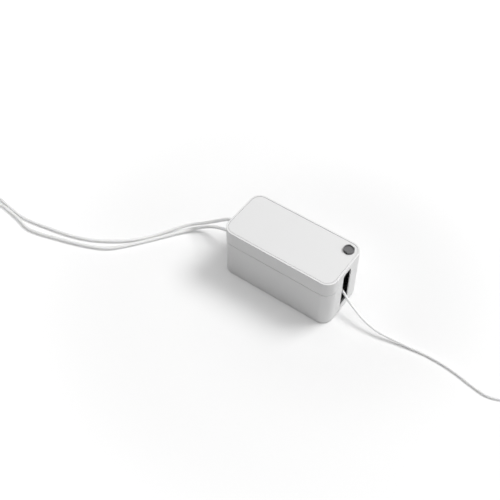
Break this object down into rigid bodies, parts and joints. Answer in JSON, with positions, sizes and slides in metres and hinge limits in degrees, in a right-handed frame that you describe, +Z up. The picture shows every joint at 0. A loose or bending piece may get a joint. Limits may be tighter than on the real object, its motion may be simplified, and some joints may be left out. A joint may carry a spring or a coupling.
{
  "type": "cable management box",
  "caption": "Lidded box with rounded corners that hides a power strip, with a cable slot in each end, a recessed mat on its lid for a phone and a rubber-capped cable port",
  "frame": {"origin": "On the floor under the middle of the box, the bottom centre of the box without its leads", "axes": "+Z up; +X along the box towards the end with the lid's cable port; -Y is the front long side"},
  "size_m": [1.3956, 0.4147, 0.1298],
  "materials": {
    "case_white": "satin, very fine grain",
    "tray_mat": "matt, smooth",
    "cap_grey": "matt",
    "foot_rubber": "matt",
    "pad_foam": "matt foam",
    "strip_black": "fine spark texture",
    "outlet_black": "satin",
    "rocker_red": "gloss, part see-through",
    "button_black": "satin",
    "contact_brass": "rolled strip",
    "pin_nickel": "nickel plate",
    "screw_steel": "zinc plate",
    "board_green": "satin lacquer",
    "varistor_blue": "dipped epoxy",
    "cord_white": "satin flexible sheath",
    "plug_white": "satin",
    "tie_strap": "woven hook and loop"
  },
  "bodies": {
    "case": {"base_tub": "case_white", "breaker_body": "strip_black", "earth_rail": "contact_brass", "foot_back_left": "foot_rubber", "foot_back_right": "foot_rubber", "foot_front_left": "foot_rubber", "foot_front_right": "foot_rubber", "left_connector": "plug_white", "left_lead": "cord_white", "left_lead_coil": "cord_white", "left_lead_tail": "cord_white", "left_lead_tie": "tie_strap", "left_plug_body": "plug_white", "left_plug_earth_pin": "pin_nickel", "left_plug_live_blade": "pin_nickel", "left_plug_neutral_blade": "pin_nickel", "live_rail": "contact_brass", "mains_lead": "cord_white", "mains_lead_coil": "cord_white", "mains_lead_tail": "cord_white", "mains_lead_tie": "tie_strap", "mains_plug_body": "plug_white", "mains_plug_earth_pin": "pin_nickel", "mains_plug_live_blade": "pin_nickel", "mains_plug_neutral_blade": "pin_nickel", "mains_relief": "strip_black", "neutral_rail": "contact_brass", "outlet_face_1": "outlet_black", "outlet_face_2": "outlet_black", "outlet_face_3": "outlet_black", "outlet_face_4": "outlet_black", "right_connector": "plug_white", "right_lead": "cord_white", "right_lead_coil": "cord_white", "right_lead_tail": "cord_white", "right_lead_tie": "tie_strap", "right_plug_body": "plug_white", "right_plug_live_blade": "pin_nickel", "right_plug_neutral_blade": "pin_nickel", "strip_cover": "strip_black", "strip_lower_shell": "strip_black", "strip_pad_1": "pad_foam", "strip_pad_2": "pad_foam", "strip_pad_3": "pad_foam", "strip_pad_4": "pad_foam", "strip_screw_1": "screw_steel", "strip_screw_2": "screw_steel", "strip_screw_3": "screw_steel", "strip_screw_4": "screw_steel", "surge_board": "board_green", "switch_housing": "strip_black", "varistor_1": "varistor_blue", "varistor_2": "varistor_blue", "varistor_3": "varistor_blue"},
    "lid": {"lid_shell": "case_white", "tray_mat": "tray_mat"},
    "port_cap": {"port_cap": "cap_grey"},
    "switch_rocker": {"switch_rocker": "rocker_red"},
    "reset_button": {"reset_button": "button_black"}
  },
  "joints": [
    {"name": "lid_lift", "type": "slide", "parent": "case", "child": "lid", "axis": [0, 0, 1], "range_m": [0, 0.15]},
    {"name": "cap_pull", "type": "slide", "parent": "lid", "child": "port_cap", "axis": [0, 0, 1], "range_m": [0, 0.02]},
    {"name": "rocker_tilt", "type": "hinge", "parent": "case", "child": "switch_rocker", "pos_m": [-0.0355, 0.0315, 0.036], "axis": [-1, 0, 0], "range_deg": [0, 18]},
    {"name": "reset_press", "type": "slide", "parent": "case", "child": "reset_button", "axis": [0, 0, -1], "range_m": [0, 0.0015], "stiffness_N_per_m": 300}
  ]
}
